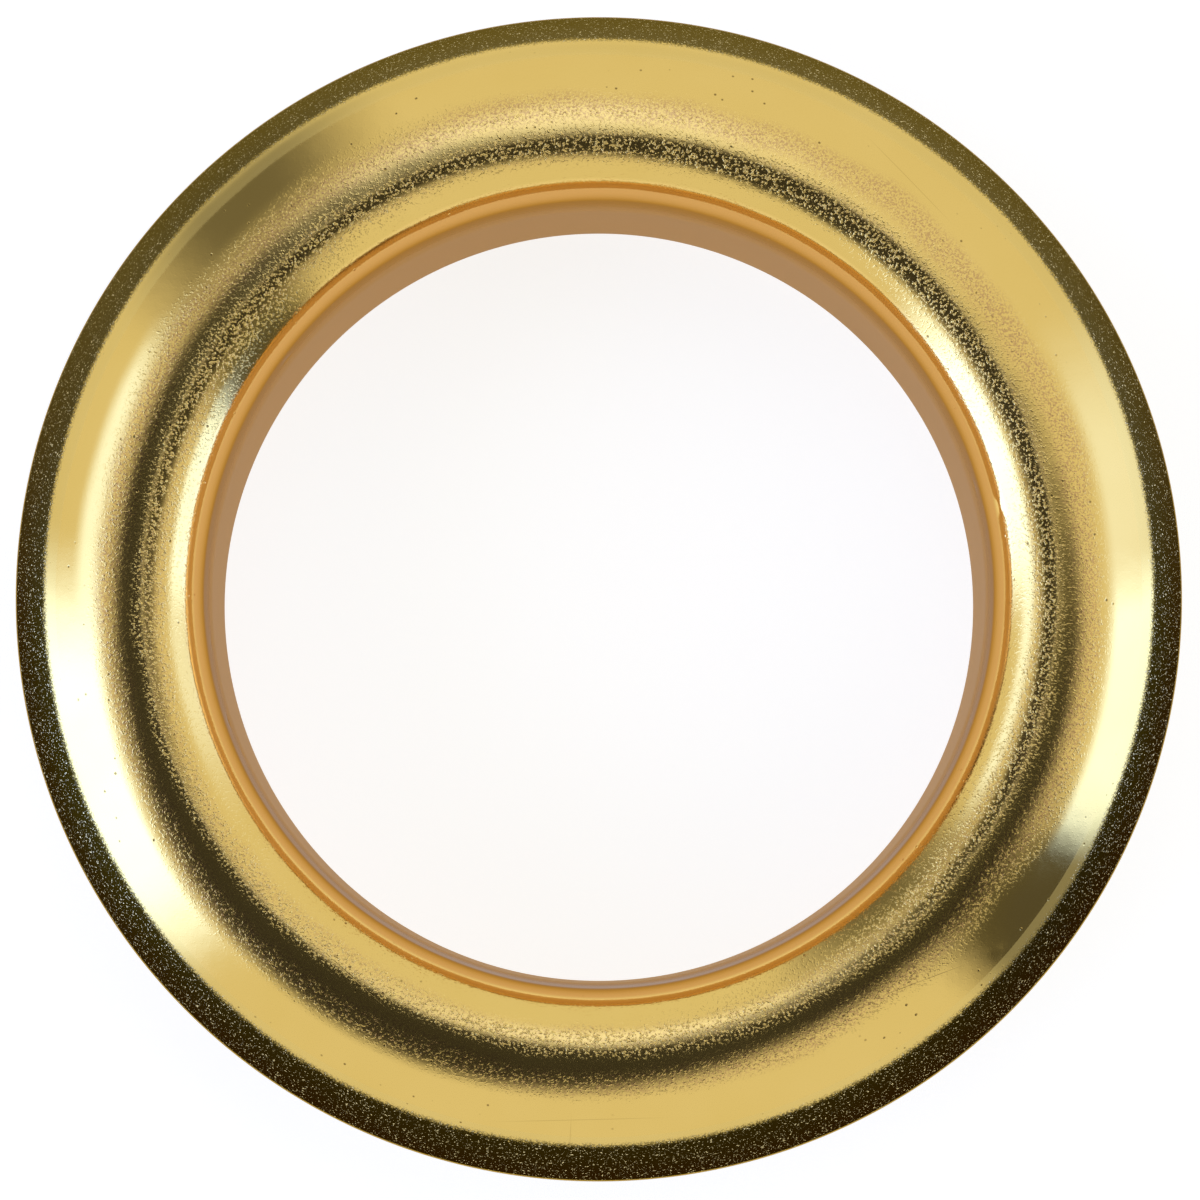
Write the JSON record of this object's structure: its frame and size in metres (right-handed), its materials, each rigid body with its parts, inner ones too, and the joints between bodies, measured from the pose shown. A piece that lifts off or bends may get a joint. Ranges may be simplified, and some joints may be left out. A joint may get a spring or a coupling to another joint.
{
  "type": "grommet eyelet",
  "caption": "Large sheet-brass grommet eyelet: a domed round flange rolls over its lip and down a steep throat into a straight open barrel.",
  "frame": {"origin": "on the axis, in the plane of the barrel's cut end, which is the bottom of the part", "axes": "+Z along the axis from the barrel's cut end to the crown of the flange; the part is round, so X and Y are free"},
  "size_m": [0.0604, 0.0604, 0.0146],
  "materials": {
    "brass": "polished drawn sheet with a fine orange-peel grain on its bends"
  },
  "bodies": {
    "root": {"grommet": "brass"}
  },
  "joints": []
}
